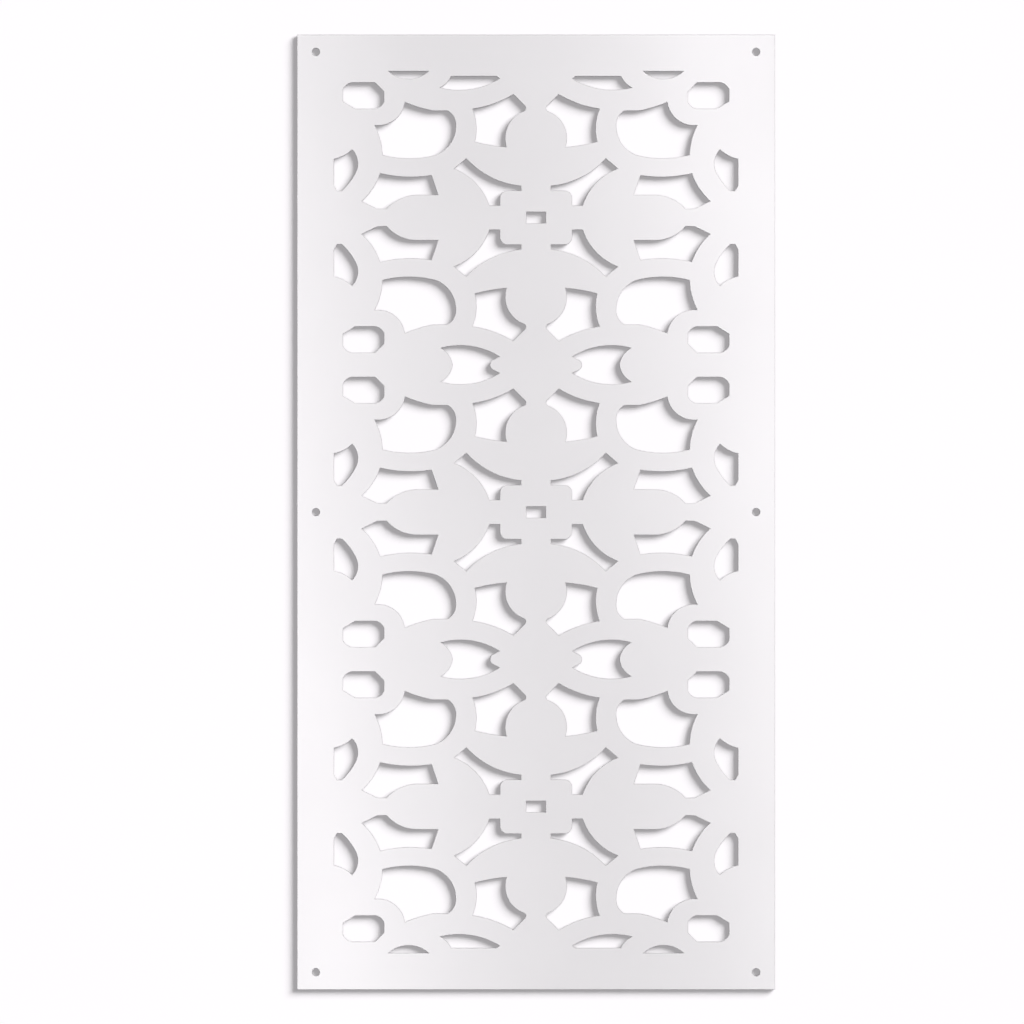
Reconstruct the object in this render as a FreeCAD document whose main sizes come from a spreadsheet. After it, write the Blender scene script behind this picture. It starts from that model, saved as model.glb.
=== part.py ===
import FreeCAD, Part
import os
import Sketcher

# Upright privacy screen panel: a bonded sheet of two coated metal skins on a plastic core, cut right
# through with a mirrored fretwork that repeats up the panel, and drilled near its edges for fixing.
# X runs across, Z runs up and the front faces -Y. The origin is in the middle of the fixing holes, on
# the rear face, which lies against the posts or wall that carry the panel.

# Driving dimensions in millimetres, and counts: alias, value, meaning
SIZES = [
    ("panel_width", 610, "width over both side edges"),
    ("panel_height", 1219, "height over both ends"),
    ("skin_thickness", 0.5, "each coated metal skin"),
    ("core_thickness", 5, "plastic core between the skins"),
    ("side_border", 47, "plain border beside the fretwork"),
    ("end_border", 45.5, "border above and below the repeats of the fretwork"),
    ("repeats", 3, "repeats of the fretwork up the panel"),
    ("slot_width", 25, "slot in the middle of each repeat, across"),
    ("slot_height", 14.5, "slot in the middle of each repeat, up"),
    ("fixing_diameter", 10, "fixing hole"),
    ("fixing_side_inset", 24, "fixing hole centre from the side edge"),
    ("fixing_end_inset", 22, "outer fixing hole centre from the end"),
    ("fixing_rows", 3, "fixing holes up each side"),
]

# The fretwork was drawn for these sizes, and stretches with the field that the borders leave for it
DRAWN_FIELD_WIDTH = 516
DRAWN_REPEAT_HEIGHT = 376

FIELD_WIDTH = "(Sizes.panel_width - 2 * Sizes.side_border)"
FIELD_HEIGHT = "(Sizes.panel_height - 2 * Sizes.end_border)"
REPEAT_HEIGHT = f"({FIELD_HEIGHT} / Sizes.repeats)"
SHEET_THICKNESS = "(2 * Sizes.skin_thickness + Sizes.core_thickness)"
# Cut-outs stand astride the rear face, so twice the sheet each way takes them past both faces
CUT_LENGTH = f"4 * {SHEET_THICKNESS}"


def line(end):
    """A straight side from the last point to this one."""
    return (end,)


def arc(through, end):
    """A round side from the last point, through one point, to another."""
    return (through, end)


# Each outline is closed: its first side starts where its last one ends.
# Openings of one quarter of a repeat: out from its upright centre line, and up from its middle.
TRIPOD = [
    line((46, 15.5)),
    line((46, 26.5)),
    arc((43.5, 31.5), (38, 34.5)),
    line((19, 34.5)),
    line((19, 40.5)),
    arc((60.5, 53), (89, 75.5)),
    line((104.5, 62.5)),
    arc((77.5, 45), (59.5, 15.5)),
]
WING = [
    line((150, 29)),
    arc((174, 24), (191, 11)),
    line((203, 11.5)),
    line((222.5, 21)),
    arc((208.5, 37), (199, 56.5)),
    arc((165, 52), (133.5, 54)),
    line((125, 29)),
]
LEAF = [
    line((254, 34)),
    line((258, 41)),
    line((258, 75)),
    arc((246, 79), (235, 87)),
    arc((227.5, 69), (230.5, 57)),
    arc((238, 45), (248, 34)),
]
BEAN = [
    arc((172, 76), (128, 80)),
    arc((109.5, 94.5), (102.5, 116)),
    arc((105, 128.5), (113, 136.5)),
    line((132, 136.5)),
    arc((151.5, 141.5), (167.5, 147.5)),
    arc((177.5, 127.5), (206, 118)),
    arc((199, 100.5), (196, 80)),
]
STAR = [
    arc((60, 93), (78, 97)),
    arc((76, 113.5), (81, 139)),
    arc((54, 145.5), (29, 157.5)),
    line((14, 142.5)),
    arc((13, 139.5), (15, 136)),
    arc((33.5, 121.5), (37.5, 90)),
]
LOZENGE = [
    line((231, 139)),
    line((246.5, 148.5)),
    line((246.5, 163.5)),
    arc((243, 168.5), (235, 172.5)),
    line((205.5, 172.5)),
    line((194, 161)),
    line((194, 148)),
    arc((198.5, 142), (205, 139)),
]
QUARTER = {
    "tripod": TRIPOD,
    "wing": WING,
    "leaf": LEAF,
    "bean": BEAN,
    "star": STAR,
    "lozenge": LOZENGE,
}

# Half of the eye that two repeats share: out as before, and up from the line between them
EYE = [
    line((106.5, 0)),
    arc((110, 10.5), (121.5, 21.5)),
    arc((88, 24.5), (46.5, 10.5)),
    line((54.5, 6.5)),
    arc((57.5, 4), (58.5, 0)),
]

# Openings that end the fretwork: out as before, and in from the end of the field
CLOSED_EYE = [
    line((108.5, 7.5)),
    arc((112, 13.5), (122.5, 22)),
    arc((88, 24.5), (46.5, 10.5)),
    line((50.5, 7.5)),
]
SLIVER = [
    line((188.5, 1)),
    arc((163, 11), (137, 1)),
]
ENDS = {
    "closed_eye": CLOSED_EYE,
    "sliver": SLIVER,
}


def add_sizes(doc):
    """The sheet of driving dimensions, one row for each."""
    sheet = doc.addObject("Spreadsheet::Sheet", "Sizes")
    for row, (alias, value, meaning) in enumerate(SIZES, start=1):
        sheet.set(f"A{row}", meaning)
        sheet.set(f"B{row}", str(value))
        sheet.setAlias(f"B{row}", alias)
    doc.recompute()


def origin_plane(body, role):
    """One of a body's own origin planes."""
    return next(item for item in body.Origin.OriginFeatures if item.Role == role)


def add_sketch(body, name, height):
    """A sketch on the rear face, its X across the panel and its Y up from the given height."""
    sketch = body.newObject("Sketcher::SketchObject", name)
    sketch.AttachmentSupport = [(origin_plane(body, "XZ_Plane"), "")]
    sketch.MapMode = "FlatFace"
    sketch.setExpression("AttachmentOffset.Base.y", height)
    return sketch


def bind(sketch, constraint, expression):
    """Add a dimension to a sketch and tie it to the sheet."""
    index = sketch.addConstraint(constraint)
    sketch.setExpression(f"Constraints[{index}]", expression)


def pin(sketch, geometry, end, point):
    """Hold a point of the fretwork at its drawn place, stretched with the field."""
    across, up = point
    bind(
        sketch,
        Sketcher.Constraint("DistanceX", -1, 1, geometry, end, across),
        f"{across} * {FIELD_WIDTH} / {DRAWN_FIELD_WIDTH}",
    )
    if up == 0:
        sketch.addConstraint(Sketcher.Constraint("PointOnObject", geometry, end, -1))
        return
    bind(
        sketch,
        Sketcher.Constraint("DistanceY", -1, 1, geometry, end, up),
        f"{up} * {REPEAT_HEIGHT} / {DRAWN_REPEAT_HEIGHT}",
    )


def ends_of(sketch, geometry, start):
    """The numbers of a side's two ends, the one at start first: arcs always run anticlockwise."""
    near = sketch.getPoint(geometry, 1).distanceToPoint(start)
    far = sketch.getPoint(geometry, 2).distanceToPoint(start)
    return (1, 2) if near < far else (2, 1)


def draw_outline(sketch, outline):
    """Add one closed outline of straight and round sides, with every corner tied to the sheet."""
    sides = []
    start = FreeCAD.Vector(*outline[-1][-1], 0)
    for side in outline:
        points = [FreeCAD.Vector(*point, 0) for point in side]
        if len(points) == 1:
            geometry = sketch.addGeometry(Part.LineSegment(start, points[0]), False)
        else:
            geometry = sketch.addGeometry(Part.Arc(start, *points), False)
        sides.append((geometry, *ends_of(sketch, geometry, start)))
        start = points[-1]
    for index, (geometry, first, _) in enumerate(sides):
        before, _, before_last = sides[index - 1]
        sketch.addConstraint(Sketcher.Constraint("Coincident", before, before_last, geometry, first))
    for side, (geometry, _, last) in zip(outline, sides):
        pin(sketch, geometry, last, side[-1])
        if len(side) == 2:
            through = sketch.addGeometry(Part.Point(FreeCAD.Vector(*side[0], 0)), True)
            pin(sketch, through, 1, side[0])
            sketch.addConstraint(Sketcher.Constraint("PointOnObject", through, 1, geometry))


def draw_rectangle(sketch, width, height):
    """Add a rectangle centred on the sketch's origin, its sides tied to two expressions."""
    corners = [FreeCAD.Vector(x, y, 0) for x, y in ((-1, -1), (1, -1), (1, 1), (-1, 1))]
    sides = [Part.LineSegment(corners[index - 1], corners[index]) for index in range(4)]
    left, bottom, right, top = sketch.addGeometry(sides, False)
    loop = [left, bottom, right, top]
    for index, geometry in enumerate(loop):
        sketch.addConstraint(Sketcher.Constraint("Coincident", loop[index - 1], 2, geometry, 1))
    for level in (bottom, top):
        sketch.addConstraint(Sketcher.Constraint("Horizontal", level))
    for upright in (left, right):
        sketch.addConstraint(Sketcher.Constraint("Vertical", upright))
    sketch.addConstraint(Sketcher.Constraint("Symmetric", bottom, 1, top, 1, -1, 1))
    bind(sketch, Sketcher.Constraint("DistanceX", bottom, 1, bottom, 2, 2), width)
    bind(sketch, Sketcher.Constraint("DistanceY", right, 1, right, 2, 2), height)


def add_prism(body, sketch):
    """Stand a sketch up as a prism that passes both faces of the sheet."""
    prism = body.newObject("PartDesign::Pad", f"{sketch.Name}_prism")
    prism.Profile = sketch
    prism.SideType = "Symmetric"
    prism.setExpression("Length", CUT_LENGTH)
    return prism


def add_opening(body, name, outline, height):
    """The sketch and prism of one opening of the fretwork."""
    sketch = add_sketch(body, name, height)
    draw_outline(sketch, outline)
    return sketch, add_prism(body, sketch)


def mirror(body, name, plane):
    """One mirroring, as a step of a pattern."""
    step = body.newObject("PartDesign::Mirrored", name)
    step.MirrorPlane = plane
    return step


def stack(body, name, sketch, count, pitch):
    """Copies up the panel, as a step of a pattern."""
    step = body.newObject("PartDesign::LinearPattern", name)
    step.Direction = (sketch, ["V_Axis"])
    step.setExpression("Occurrences", count)
    step.setExpression("Length", f"({count} - 1) * {pitch}")
    return step


def repeat(body, name, prisms, steps):
    """Repeat prisms by each step in turn, and make the result the body's tip."""
    pattern = body.newObject("PartDesign::MultiTransform", name)
    pattern.Originals = prisms
    pattern.Transformations = steps
    body.Tip = pattern


def add_quarter_openings(body):
    """Every opening that each quarter of each repeat has, mirrored both ways and stacked."""
    lowest_middle = f"-(Sizes.repeats - 1) / 2 * {REPEAT_HEIGHT}"
    openings = [add_opening(body, name, outline, lowest_middle) for name, outline in QUARTER.items()]
    sketch = openings[0][0]
    repeat(body, "quarters", [prism for _, prism in openings], [
        mirror(body, "quarters_across", (sketch, ["V_Axis"])),
        mirror(body, "quarters_down", (sketch, ["H_Axis"])),
        stack(body, "quarters_up", sketch, "Sizes.repeats", REPEAT_HEIGHT),
    ])


def add_slots(body):
    """The level slot in the middle of each repeat."""
    sketch = add_sketch(body, "slot", f"-(Sizes.repeats - 1) / 2 * {REPEAT_HEIGHT}")
    draw_rectangle(sketch, "Sizes.slot_width", "Sizes.slot_height")
    prism = add_prism(body, sketch)
    repeat(body, "slots", [prism], [stack(body, "slots_up", sketch, "Sizes.repeats", REPEAT_HEIGHT)])


def add_eyes(body):
    """The pair of eyes on each line between two repeats."""
    sketch, prism = add_opening(body, "eye", EYE, f"-(Sizes.repeats - 2) / 2 * {REPEAT_HEIGHT}")
    repeat(body, "eyes", [prism], [
        mirror(body, "eyes_across", (sketch, ["V_Axis"])),
        mirror(body, "eyes_down", (sketch, ["H_Axis"])),
        stack(body, "eyes_up", sketch, "(Sizes.repeats - 1)", REPEAT_HEIGHT),
    ])


def add_end_openings(body):
    """The openings that finish the fretwork at its bottom end and, mirrored, at its top end."""
    openings = [add_opening(body, name, outline, f"-{FIELD_HEIGHT} / 2") for name, outline in ENDS.items()]
    sketch = openings[0][0]
    repeat(body, "ends", [prism for _, prism in openings], [
        mirror(body, "ends_across", (sketch, ["V_Axis"])),
        mirror(body, "ends_over", (origin_plane(body, "XY_Plane"), [""])),
    ])


def add_fixing_holes(body):
    """The holes up both sides that the fixing screws pass."""
    sketch = add_sketch(body, "fixing", "Sizes.fixing_end_inset - Sizes.panel_height / 2")
    hole = sketch.addGeometry(Part.Circle(FreeCAD.Vector(1, 0, 0), FreeCAD.Vector(0, 0, 1), 1), False)
    sketch.addConstraint(Sketcher.Constraint("PointOnObject", hole, 3, -1))
    centre = Sketcher.Constraint("DistanceX", -1, 1, hole, 3, 1)
    bind(sketch, centre, "Sizes.panel_width / 2 - Sizes.fixing_side_inset")
    bind(sketch, Sketcher.Constraint("Diameter", hole, 2), "Sizes.fixing_diameter")
    prism = add_prism(body, sketch)
    pitch = "(Sizes.panel_height - 2 * Sizes.fixing_end_inset) / (Sizes.fixing_rows - 1)"
    repeat(body, "fixings", [prism], [
        mirror(body, "fixings_across", (sketch, ["V_Axis"])),
        stack(body, "fixings_up", sketch, "Sizes.fixing_rows", pitch),
    ])


def add_cutouts(doc):
    """Everything that is cut out of the bonded sheet, as one body of separate prisms."""
    body = doc.addObject("PartDesign::Body", "Cutouts")
    body.AllowCompound = True
    add_fixing_holes(body)
    add_end_openings(body)
    add_eyes(body)
    add_slots(body)
    add_quarter_openings(body)
    return body


def add_ply(doc, label, cutouts, depth, thickness):
    """One ply of the sheet, from a depth in front of the rear face, less what is cut out of it."""
    blank = doc.addObject("Part::Box", f"{label}_blank")
    blank.setExpression("Length", "Sizes.panel_width")
    blank.setExpression("Width", thickness)
    blank.setExpression("Height", "Sizes.panel_height")
    blank.setExpression("Placement.Base.x", "-Sizes.panel_width / 2")
    blank.setExpression("Placement.Base.y", f"-({depth} + {thickness})")
    blank.setExpression("Placement.Base.z", "-Sizes.panel_height / 2")
    ply = doc.addObject("Part::Cut", label)
    ply.Label = label
    ply.Base = blank
    ply.Tool = cutouts
    return ply


def check(doc, plies):
    """Stop if a feature failed, or a ply isn't one sound solid with something cut out of it."""
    for item in doc.Objects:
        if {"Invalid", "Error"} & set(item.State):
            raise RuntimeError(f"{item.Name} failed")
    for ply in plies:
        if ply.Shape.isNull() or not ply.Shape.isValid() or len(ply.Shape.Solids) != 1:
            raise RuntimeError(f"{ply.Label} isn't one sound solid")
        if ply.Shape.Volume >= ply.Base.Shape.Volume:
            raise RuntimeError(f"{ply.Label} has no openings")


def main():
    doc = FreeCAD.newDocument("PrivacyScreen")
    add_sizes(doc)
    cutouts = add_cutouts(doc)
    core_depth = "Sizes.skin_thickness"
    front_depth = "(Sizes.skin_thickness + Sizes.core_thickness)"
    plies = [
        add_ply(doc, "rear_skin", cutouts, "0", "Sizes.skin_thickness"),
        add_ply(doc, "core", cutouts, core_depth, "Sizes.core_thickness"),
        add_ply(doc, "front_skin", cutouts, front_depth, "Sizes.skin_thickness"),
    ]
    doc.recompute()
    check(doc, plies)
    os.makedirs("parts", exist_ok=True)
    for ply in plies:
        ply.Shape.exportStep(f"parts/{ply.Label}.step")


main()
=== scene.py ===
import math

import bmesh
import bpy
from mathutils import Matrix, Vector
from mathutils.geometry import delaunay_2d_cdt


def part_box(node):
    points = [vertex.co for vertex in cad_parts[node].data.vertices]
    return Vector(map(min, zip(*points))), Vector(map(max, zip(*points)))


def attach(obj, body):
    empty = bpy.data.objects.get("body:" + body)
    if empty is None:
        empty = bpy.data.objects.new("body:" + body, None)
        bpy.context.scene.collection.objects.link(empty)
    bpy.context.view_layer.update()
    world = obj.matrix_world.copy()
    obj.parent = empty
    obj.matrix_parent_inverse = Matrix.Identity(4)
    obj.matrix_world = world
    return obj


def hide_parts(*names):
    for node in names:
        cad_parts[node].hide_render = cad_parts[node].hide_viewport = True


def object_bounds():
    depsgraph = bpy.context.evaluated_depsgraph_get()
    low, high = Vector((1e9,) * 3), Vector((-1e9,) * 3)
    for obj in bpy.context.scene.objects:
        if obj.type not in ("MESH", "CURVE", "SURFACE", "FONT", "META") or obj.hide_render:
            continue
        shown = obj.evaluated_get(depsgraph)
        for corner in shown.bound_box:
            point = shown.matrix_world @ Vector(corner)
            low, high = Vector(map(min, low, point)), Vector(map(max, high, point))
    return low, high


# A white privacy screen panel, seen square from the front, close before a white wall that takes its
# shadow. Its three plies are drawn again from the outlines of the frame's nodes, with finer arcs, eased
# edges and the layers of the cut showing.
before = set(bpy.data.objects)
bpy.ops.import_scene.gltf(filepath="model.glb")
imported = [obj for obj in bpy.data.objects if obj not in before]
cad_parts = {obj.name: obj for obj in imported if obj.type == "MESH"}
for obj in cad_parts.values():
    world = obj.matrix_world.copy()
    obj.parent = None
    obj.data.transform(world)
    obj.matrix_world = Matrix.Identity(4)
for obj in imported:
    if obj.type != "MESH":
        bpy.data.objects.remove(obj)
cad_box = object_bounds()

# Lengths are in metres
MILLIMETRE = 0.001

# Reading the outlines
WELD = 0.001 * MILLIMETRE  # points closer than this are one
FACING = 0.9  # a face of the front has a normal that points forward by at least this much
EVEN_STEPS = 0.003  # share by which two steps of one arc may differ in length
LARGEST_BEND = math.radians(20)  # turn between two steps of one arc, at most

# Drawing the plies
FINE_STEP = 3 * MILLIMETRE  # about the length of a finer step along an arc
FINE_BEND = math.radians(4)  # turn of a finer step, at most
SHARPEST_MITRE = 0.02  # keeps the inset of a very sharp corner in bounds
# The eased edges carry the cut aluminium, so their width sets how strong its painted dark line is
EASED_EDGE = 0.25 * MILLIMETRE
EASE_STEPS = 3
CORE_RECESS = 0.08 * MILLIMETRE
TRIANGLES_BETWEEN_LOOPS = 2  # the way of filling that leaves the openings out
CUT_MATERIAL = 1  # place of the cut walls' material in a ply's list
SHARP_TURN = math.radians(6)  # turn of an outline that shows as a corner
SHARP_EASE = math.radians(35)  # turn between two strips of a cut wall that shows as an edge

# Materials, with colours from dark to light
WHITE = (1, 1, 1, 1)
BLACK = (0, 0, 0, 1)
TINT_START = 0.3
TINT_END = 0.7
PLAIN_DETAIL = 2
FINE_DETAIL = 3
UNSTRETCHED = (1, 1, 1)
COAT_CLOUDS = 160 * MILLIMETRE
COAT_COLOURS = ((0.768, 0.748, 0.766), (0.788, 0.768, 0.786))
COAT_PATCHES = 35 * MILLIMETRE
COAT_ROUGHNESS = (0.34, 0.44)
PEEL_GRAIN = 1.4 * MILLIMETRE
PEEL_DETAIL = 1
PEEL_DEPTH = 0.012 * MILLIMETRE
STREAK_GRAIN = 0.5 * MILLIMETRE
STREAK_STRETCH = (1, 0.05, 1)
STREAK_DEPTH = 0.02 * MILLIMETRE
# Painted shade: the cut aluminium is far darker than bare aluminium, so the eased edges show as a thin
# dark line
EDGE_SHADE_METAL_COLOURS = ((0.15, 0.15, 0.155), (0.24, 0.24, 0.245))
METAL_ROUGHNESS = (0.7, 0.85)
CORE_CLOUDS = 60 * MILLIMETRE
CORE_COLOURS = ((0.71, 0.70, 0.71), (0.76, 0.75, 0.76))
CORE_ROUGHNESS = (0.48, 0.66)
MARK_GRAIN = 0.9 * MILLIMETRE
MARK_STRETCH = (1, 0.04, 1)
MARK_DEPTH = 0.06 * MILLIMETRE

# The photograph's frame, in pixels, and a lens that suits it
PHOTO_SIDE = 1024
PANEL_PIXELS_HIGH = 954.8
PANEL_PIXEL_CENTRE = (536.1, 512.1)
LENS = 400 * MILLIMETRE
SENSOR = 36 * MILLIMETRE

# Stage
MATT_ROUGHNESS = 0.9
WALL_GAP = 2 * MILLIMETRE
WALL_HALF_WIDTH = 3
WALL_TOP = 4.2
WALL_CLOUDS = 0.5
WALL_COLOURS = ((0.885, 0.863, 0.885), (0.9, 0.878, 0.9))
WALL_TINT = (1, 0.97, 1, 1)
WALL_GLOW = 0.376
FLOOR_DROP = 51 * MILLIMETRE
FLOOR_HALF_SIDE = 30
FLOOR_CLOUDS = 0.4
FLOOR_COLOURS = ((0.79, 0.79, 0.79), (0.81, 0.81, 0.81))
FLOOR_GLOW = 0.109
BACKDROP_RADIUS = 28
BACKDROP_SUBDIVISIONS = 4
BACKDROP_GLOW = 0.57

# Light, with directions from the panel towards it
KEY_FROM = (1.13, -1, 0.83)
KEY_SPREAD = math.radians(34)
KEY_STRENGTH = 2.96
WALL_KEY_STRENGTH = 3.88
FRONT_FILL_FROM = (0, -1, 0.3)
REAR_FILL_FROM = (0, 1, 0.3)
FILL_SPREAD = math.radians(150)
FILL_STRENGTH = 0.38
STRIP_ASIDE = 0.45
STRIP_AHEAD = 0.25
STRIP_WIDTH = 0.12
STRIP_HEIGHT = 2.4
STRIP_LEAN = math.radians(-8.5)
STRIP_POWER = 3.11
BACK_PLACE = (-2.4, 3.2, 2.6)
BACK_SIZE = 2.4
BACK_POWER = 330


def front_outlines(node):
    """The edge and every opening of a ply as closed lists of (x, z) points, read off its front face.

    Seen from the front, the sheet is always on the left of an outline's direction.
    """
    ply = bmesh.new()
    ply.from_mesh(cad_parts[node].data)
    bmesh.ops.remove_doubles(ply, verts=ply.verts, dist=WELD)
    ply.normal_update()
    following = {}
    for face in ply.faces:
        if face.normal.y > -FACING:
            continue
        for corner in face.loops:
            if corner.link_loop_radial_next.face.normal.y > -FACING:
                following[corner.vert] = corner.link_loop_next.vert
    outlines = []
    while following:
        point = next(iter(following))
        outline = []
        while point in following:
            outline.append(Vector((point.co.x, point.co.z)))
            point = following.pop(point)
        outlines.append(outline)
    ply.free()
    return outlines


def arc_points(start, step, bend):
    """Points from the start of one step up to its end, on the arc that turns by the given angle."""
    if bend == 0:
        return [start]
    count = max(round(step.length / FINE_STEP), math.ceil(abs(bend) / FINE_BEND))
    points = []
    for index in range(count):
        share = index / count
        chord = step * math.sin(bend * share / 2) / math.sin(bend / 2)
        points.append(start + Matrix.Rotation(bend * (share - 1) / 2, 2) @ chord)
    return points


def smooth_outline(outline):
    """The outline with finer steps along its arcs.

    The steps of one arc are equally long and turn alike, which no two straight sides do.
    """
    steps = [outline[index] - outline[index - 1] for index in range(len(outline))]
    bends = [0.0] * len(steps)
    for index, step in enumerate(steps):
        before = steps[index - 1]
        turn = math.atan2(before.cross(step), before.dot(step))
        even = abs(before.length / step.length - 1) < EVEN_STEPS
        if even and abs(turn) < LARGEST_BEND:
            bends[index - 1] = turn
            bends[index] = turn
    points = []
    for index, step in enumerate(steps):
        points += arc_points(outline[index - 1], step, bends[index])
    return points


def inward_offsets(outline):
    """For each point, the move that takes both its sides one metre into the sheet."""
    offsets = []
    for index, point in enumerate(outline):
        before = (point - outline[index - 1]).normalized().orthogonal()
        after = (outline[(index + 1) % len(outline)] - point).normalized().orthogonal()
        offsets.append((before + after) / max(1 + before.dot(after), SHARPEST_MITRE))
    return offsets


def eased_profile(depth, towards):
    """Depth and inset along an eased edge, from the flat face to the cut wall."""
    profile = []
    for index in range(EASE_STEPS + 1):
        angle = math.pi / 2 * index / EASE_STEPS
        drop = EASED_EDGE * (1 - math.cos(angle))
        inset = EASED_EDGE * (1 - math.sin(angle))
        profile.append((depth + math.copysign(drop, towards - depth), inset))
    return profile


def flat_triangles(outlines):
    """Triangles that fill the sheet between its edge and its openings.

    Their corners are numbers of points, counted through all outlines in turn.
    """
    points = []
    loops = []
    for outline in outlines:
        loops.append(range(len(points), len(points) + len(outline)))
        points += outline
    filled = delaunay_2d_cdt(points, [], loops, TRIANGLES_BETWEEN_LOOPS, WELD)
    triangles, sources = filled[2:4]
    return [[sources[index][0] for index in triangle] for triangle in triangles]


def add_rings(mesh, outlines, profile):
    """The points of all outlines in turn, once for each depth and inset of the profile."""
    rings = [[] for _ in profile]
    for outline in outlines:
        offsets = inward_offsets(outline)
        for ring, (depth, inset) in zip(rings, profile):
            for point, offset in zip(outline, offsets):
                x, z = point + offset * inset
                ring.append(mesh.verts.new((x, depth, z)))
    return rings


def add_walls(mesh, outlines, front, back):
    """The strip of cut wall between two neighbouring rings, around every outline."""
    start = 0
    for outline in outlines:
        count = len(outline)
        for index in range(count):
            near = start + index
            far = start + (index + 1) % count
            wall = mesh.faces.new((front[near], back[near], back[far], front[far]))
            wall.material_index = CUT_MATERIAL
            wall.smooth = True
        start += count


def mark_sharp_edges(mesh):
    """Keep corners crisp where the cut walls are shaded smoothly."""
    mesh.normal_update()
    for edge in mesh.edges:
        through = edge.verts[0].co.y != edge.verts[1].co.y
        edge.smooth = edge.calc_face_angle() < (SHARP_TURN if through else SHARP_EASE)


def add_ply(name, node, profile):
    """A sheet with the node's outlines whose cut walls follow a profile of depths and insets."""
    outlines = [smooth_outline(outline) for outline in front_outlines(node)]
    mesh = bmesh.new()
    rings = add_rings(mesh, outlines, profile)
    for front, back in zip(rings, rings[1:]):
        add_walls(mesh, outlines, front, back)
    for triangle in flat_triangles(outlines):
        mesh.faces.new([rings[0][index] for index in triangle])
        mesh.faces.new([rings[-1][index] for index in reversed(triangle)])
    mark_sharp_edges(mesh)
    data = bpy.data.meshes.new(name)
    mesh.to_mesh(data)
    mesh.free()
    piece = bpy.data.objects.new(name, data)
    bpy.context.scene.collection.objects.link(piece)
    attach(piece, "root")
    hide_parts(node)
    return piece


def new_material(name):
    """A new node material: its tree, its shader and object coordinates."""
    material = bpy.data.materials.new(name)
    material.use_nodes = True
    tree = material.node_tree
    shader = tree.nodes["Principled BSDF"]
    place = tree.nodes.new("ShaderNodeTexCoord").outputs["Object"]
    return material, tree, shader, place


def add_noise(tree, place, grain, detail=PLAIN_DETAIL, stretch=UNSTRETCHED):
    """Noise with grains of the given size, longer along an axis whose stretch is less than one."""
    mapping = tree.nodes.new("ShaderNodeMapping")
    mapping.inputs["Scale"].default_value = stretch
    tree.links.new(place, mapping.inputs["Vector"])
    noise = tree.nodes.new("ShaderNodeTexNoise")
    noise.inputs["Scale"].default_value = 1 / grain
    noise.inputs["Detail"].default_value = detail
    tree.links.new(mapping.outputs["Vector"], noise.inputs["Vector"])
    return noise.outputs["Fac"]


def add_tint(tree, factor, dark, light, target):
    """Blend two colours by a factor into a socket."""
    ramp = tree.nodes.new("ShaderNodeValToRGB")
    start, end = ramp.color_ramp.elements
    start.position = TINT_START
    end.position = TINT_END
    start.color = (*dark, 1)
    end.color = (*light, 1)
    tree.links.new(factor, ramp.inputs["Fac"])
    tree.links.new(ramp.outputs["Color"], target)


def add_range(tree, factor, low, high, target):
    """Map a factor onto a range of values into a socket."""
    span = tree.nodes.new("ShaderNodeMapRange")
    span.inputs["To Min"].default_value = low
    span.inputs["To Max"].default_value = high
    tree.links.new(factor, span.inputs["Value"])
    tree.links.new(span.outputs["Result"], target)


def add_bump(tree, height, depth, shader):
    """Raise the surface by a height of the given depth."""
    bump = tree.nodes.new("ShaderNodeBump")
    bump.inputs["Distance"].default_value = depth
    tree.links.new(height, bump.inputs["Height"])
    tree.links.new(bump.outputs["Normal"], shader.inputs["Normal"])


def coat_material():
    """Satin white coil coating, with the faint peel that it dries with."""
    material, tree, shader, place = new_material("white_coat")
    clouds = add_noise(tree, place, COAT_CLOUDS)
    add_tint(tree, clouds, *COAT_COLOURS, shader.inputs["Base Color"])
    patches = add_noise(tree, place, COAT_PATCHES)
    add_range(tree, patches, *COAT_ROUGHNESS, shader.inputs["Roughness"])
    peel = add_noise(tree, place, PEEL_GRAIN, PEEL_DETAIL)
    add_bump(tree, peel, PEEL_DEPTH, shader)
    return material


def cut_metal_material():
    """Bare aluminium where the skins are cut through, streaked by the cutter, and painted far darker
    than bare aluminium as painted shade that draws a thin dark line along the eased edges.
    """
    material, tree, shader, place = new_material("cut_aluminium_painted_shade")
    shader.inputs["Metallic"].default_value = 1
    streaks = add_noise(tree, place, STREAK_GRAIN, FINE_DETAIL, STREAK_STRETCH)
    add_tint(tree, streaks, *EDGE_SHADE_METAL_COLOURS, shader.inputs["Base Color"])
    add_range(tree, streaks, *METAL_ROUGHNESS, shader.inputs["Roughness"])
    add_bump(tree, streaks, STREAK_DEPTH, shader)
    return material


def core_material():
    """White polyethylene, milled, with the cutter's marks through its thickness."""
    material, tree, shader, place = new_material("white_polyethylene")
    clouds = add_noise(tree, place, CORE_CLOUDS)
    add_tint(tree, clouds, *CORE_COLOURS, shader.inputs["Base Color"])
    marks = add_noise(tree, place, MARK_GRAIN, FINE_DETAIL, MARK_STRETCH)
    add_range(tree, marks, *CORE_ROUGHNESS, shader.inputs["Roughness"])
    add_bump(tree, marks, MARK_DEPTH, shader)
    return material


def dress(ply, face_material, cut_material):
    """Give a ply one material for its flat faces and one for its cut walls."""
    ply.data.materials.append(face_material)
    ply.data.materials.append(cut_material)


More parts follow.
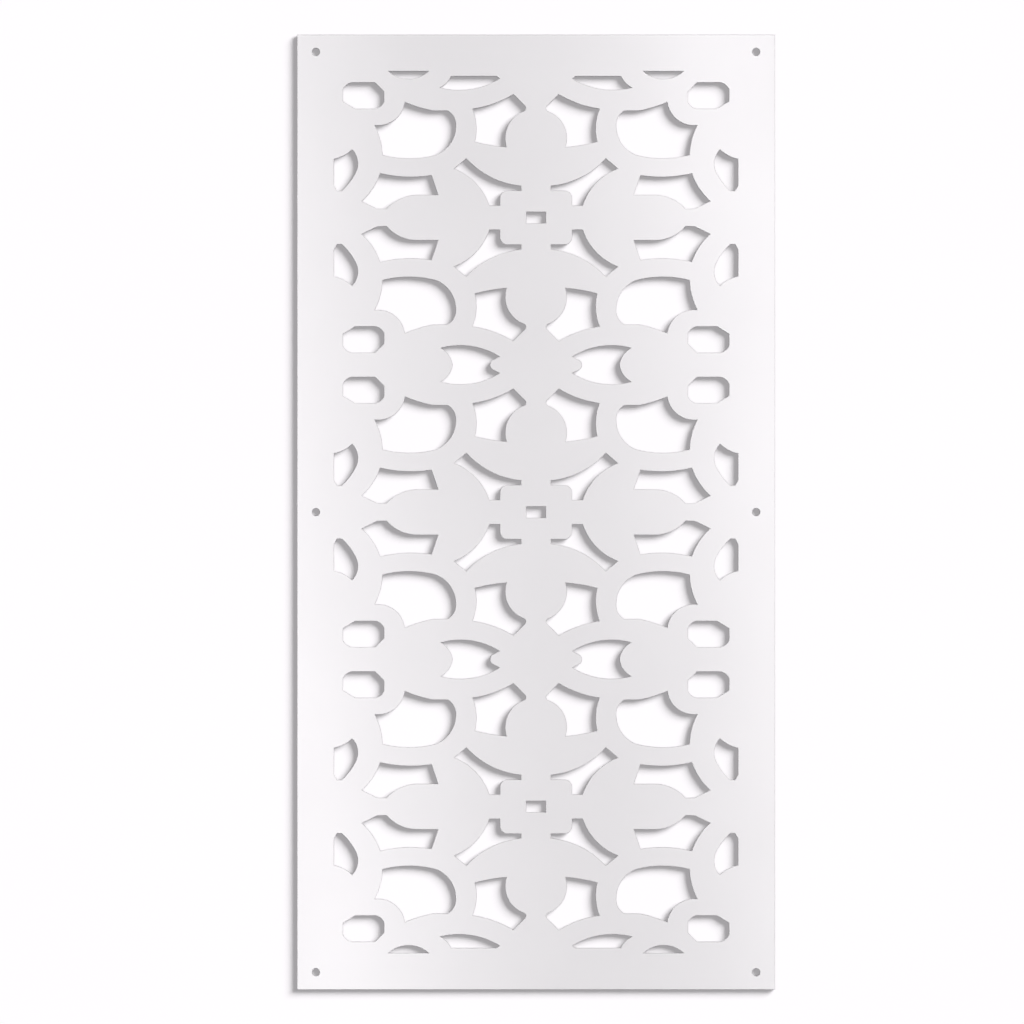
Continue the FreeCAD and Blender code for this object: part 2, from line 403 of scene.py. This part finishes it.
def add_panel():
    """The three plies, each in place of its node."""
    rear_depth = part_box("rear_skin")[1].y
    rear_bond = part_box("core")[1].y
    front_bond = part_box("core")[0].y
    front_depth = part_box("front_skin")[0].y
    coat = coat_material()
    edge_shaded_metal = cut_metal_material()
    plastic = core_material()
    front_profile = eased_profile(front_depth, front_bond) + [(front_bond, 0)]
    core_profile = [(front_bond, CORE_RECESS), (rear_bond, CORE_RECESS)]
    rear_profile = eased_profile(rear_depth, rear_bond) + [(rear_bond, 0)]
    front = add_ply("front_skin_sheet", "front_skin", front_profile)
    core = add_ply("core_layer", "core", core_profile)
    rear = add_ply("rear_skin_sheet", "rear_skin", rear_profile[::-1])
    for skin in (front, rear):
        dress(skin, coat, edge_shaded_metal)
    dress(core, plastic, plastic)
    return front, core, rear


def add_stage_piece(name, data, material):
    """A piece of the stage, which throws no light back and casts no shadow."""
    data.materials.append(material)
    piece = bpy.data.objects.new(name, data)
    piece.visible_diffuse = False
    piece.visible_glossy = False
    piece.visible_shadow = False
    bpy.context.scene.collection.objects.link(piece)
    return piece


def add_plane(name, corners, material):
    """One flat piece of the stage."""
    data = bpy.data.meshes.new(name)
    data.from_pydata(corners, [], [range(len(corners))])
    return add_stage_piece(name, data, material)


def make_matt(shader, tint, glow):
    """Take the shine off a surface, and let it glow a little by itself."""
    shader.inputs["Roughness"].default_value = MATT_ROUGHNESS
    shader.inputs["Specular IOR Level"].default_value = 0
    shader.inputs["Emission Color"].default_value = tint
    shader.inputs["Emission Strength"].default_value = glow


def wall_material():
    """Matt white, seen from the front only, so that the panel's back isn't hidden."""
    material, tree, shader, place = new_material("wall_white")
    clouds = add_noise(tree, place, WALL_CLOUDS)
    add_tint(tree, clouds, *WALL_COLOURS, shader.inputs["Base Color"])
    make_matt(shader, WALL_TINT, WALL_GLOW)
    clear = tree.nodes.new("ShaderNodeBsdfTransparent")
    side = tree.nodes.new("ShaderNodeNewGeometry")
    mix = tree.nodes.new("ShaderNodeMixShader")
    factor, front, back = mix.inputs
    tree.links.new(side.outputs["Backfacing"], factor)
    tree.links.new(shader.outputs["BSDF"], front)
    tree.links.new(clear.outputs["BSDF"], back)
    tree.links.new(mix.outputs["Shader"], tree.nodes["Material Output"].inputs["Surface"])
    return material


def floor_material():
    """Pale matt floor."""
    material, tree, shader, place = new_material("floor_pale")
    clouds = add_noise(tree, place, FLOOR_CLOUDS)
    add_tint(tree, clouds, *FLOOR_COLOURS, shader.inputs["Base Color"])
    make_matt(shader, WHITE, FLOOR_GLOW)
    return material


def backdrop_material():
    """An even pale grey."""
    material, _, shader, _ = new_material("backdrop_grey")
    shader.inputs["Base Color"].default_value = BLACK
    shader.inputs["Emission Color"].default_value = WHITE
    shader.inputs["Emission Strength"].default_value = BACKDROP_GLOW
    return material


def add_backdrop():
    """A pale dome around everything, seen from the sides and the back."""
    dome = bmesh.new()
    bmesh.ops.create_icosphere(dome, subdivisions=BACKDROP_SUBDIVISIONS, radius=BACKDROP_RADIUS)
    data = bpy.data.meshes.new("backdrop")
    dome.to_mesh(data)
    dome.free()
    add_stage_piece("backdrop", data, backdrop_material())


def add_stage():
    """A white wall close behind the panel, a pale floor below the picture and a dome around both."""
    low, high = cad_box
    depth = high.y + WALL_GAP
    level = low.z - FLOOR_DROP
    wall = add_plane("wall", [
        (-WALL_HALF_WIDTH, depth, level),
        (WALL_HALF_WIDTH, depth, level),
        (WALL_HALF_WIDTH, depth, WALL_TOP),
        (-WALL_HALF_WIDTH, depth, WALL_TOP),
    ], wall_material())
    floor = add_plane("floor", [
        (-FLOOR_HALF_SIDE, -FLOOR_HALF_SIDE, level),
        (FLOOR_HALF_SIDE, -FLOOR_HALF_SIDE, level),
        (FLOOR_HALF_SIDE, FLOOR_HALF_SIDE, level),
        (-FLOOR_HALF_SIDE, FLOOR_HALF_SIDE, level),
    ], floor_material())
    add_backdrop()
    return wall, floor


def add_lamp(name, kind):
    """A new light, which isn't seen itself and isn't thrown back by what it shines on."""
    lamp = bpy.data.objects.new(name, bpy.data.lights.new(name, kind))
    lamp.visible_camera = False
    lamp.data.cycles.max_bounces = 0
    lamp.data.cycles.use_multiple_importance_sampling = False
    bpy.context.scene.collection.objects.link(lamp)
    return lamp


def shining_from(place):
    """The turn of a light that shines from a place or direction towards the origin."""
    return (-Vector(place)).to_track_quat("-Z", "Y")


def only(*pieces):
    """A collection of these pieces, for a light that shines on them alone."""
    collection = bpy.data.collections.new("lit_pieces")
    for piece in pieces:
        collection.objects.link(piece)
    return collection


def add_far_light(name, source, spread, strength, lit):
    """A broad far light on the given pieces."""
    light = add_lamp(name, "SUN")
    light.rotation_euler = shining_from(source).to_euler()
    light.data.angle = spread
    light.data.energy = strength
    light.light_linking.receiver_collection = lit


def add_strip(name, side, face):
    """A tall light beside the panel, leaning a little, that lifts that side of its face."""
    strip = add_lamp(name, "AREA")
    strip.visible_glossy = False
    strip.light_linking.receiver_collection = face
    strip.light_linking.blocker_collection = face
    strip.data.shape = "RECTANGLE"
    strip.data.size = STRIP_WIDTH
    strip.data.size_y = STRIP_HEIGHT
    strip.data.energy = STRIP_POWER
    place = Vector((side * STRIP_ASIDE, -STRIP_AHEAD, 0))
    facing = Matrix.Translation(place) @ shining_from(place).to_matrix().to_4x4()
    strip.matrix_world = Matrix.Rotation(STRIP_LEAN, 4, "Y") @ facing


def add_back_light(lit):
    """A soft light behind, for the panel's back."""
    light = add_lamp("back", "AREA")
    light.light_linking.receiver_collection = lit
    light.data.shape = "DISK"
    light.data.size = BACK_SIZE
    light.data.energy = BACK_POWER
    light.location = BACK_PLACE
    light.rotation_euler = shining_from(BACK_PLACE).to_euler()


def add_lights(panel, wall, floor):
    """Soft light from the upper right, a fill all around and a lift for both sides of the face."""
    panel_and_floor = only(*panel, floor)
    pieces = only(*panel)
    face = only(panel[0])
    add_far_light("key", KEY_FROM, KEY_SPREAD, KEY_STRENGTH, panel_and_floor)
    add_far_light("wall_key", KEY_FROM, KEY_SPREAD, WALL_KEY_STRENGTH, only(wall))
    add_far_light("front_fill", FRONT_FILL_FROM, FILL_SPREAD, FILL_STRENGTH, panel_and_floor)
    add_far_light("rear_fill", REAR_FILL_FROM, FILL_SPREAD, FILL_STRENGTH, panel_and_floor)
    add_strip("left_strip", -1, face)
    add_strip("right_strip", 1, face)
    add_back_light(pieces)
    world = bpy.data.worlds.new("studio")
    world.use_nodes = True
    world.node_tree.nodes["Background"].inputs["Strength"].default_value = 0
    bpy.context.scene.world = world


def add_camera():
    """A long lens square to the panel, with the panel where the photograph has it."""
    low, high = cad_box
    middle = (low + high) / 2
    pixel = (high.z - low.z) / PANEL_PIXELS_HIGH
    lens = bpy.data.cameras.new("camera")
    lens.lens = LENS / MILLIMETRE
    lens.sensor_width = SENSOR / MILLIMETRE
    camera = bpy.data.objects.new("camera", lens)
    across, down = PANEL_PIXEL_CENTRE
    camera.location.x = middle.x + (PHOTO_SIDE / 2 - across) * pixel
    camera.location.y = low.y - PHOTO_SIDE * pixel * LENS / SENSOR
    camera.location.z = middle.z + (down - PHOTO_SIDE / 2) * pixel
    camera.rotation_euler.x = math.pi / 2
    bpy.context.scene.collection.objects.link(camera)
    bpy.context.scene.camera = camera


panel = add_panel()
wall, floor = add_stage()
add_lights(panel, wall, floor)
add_camera()
bpy.context.scene.view_settings.view_transform = "Standard"
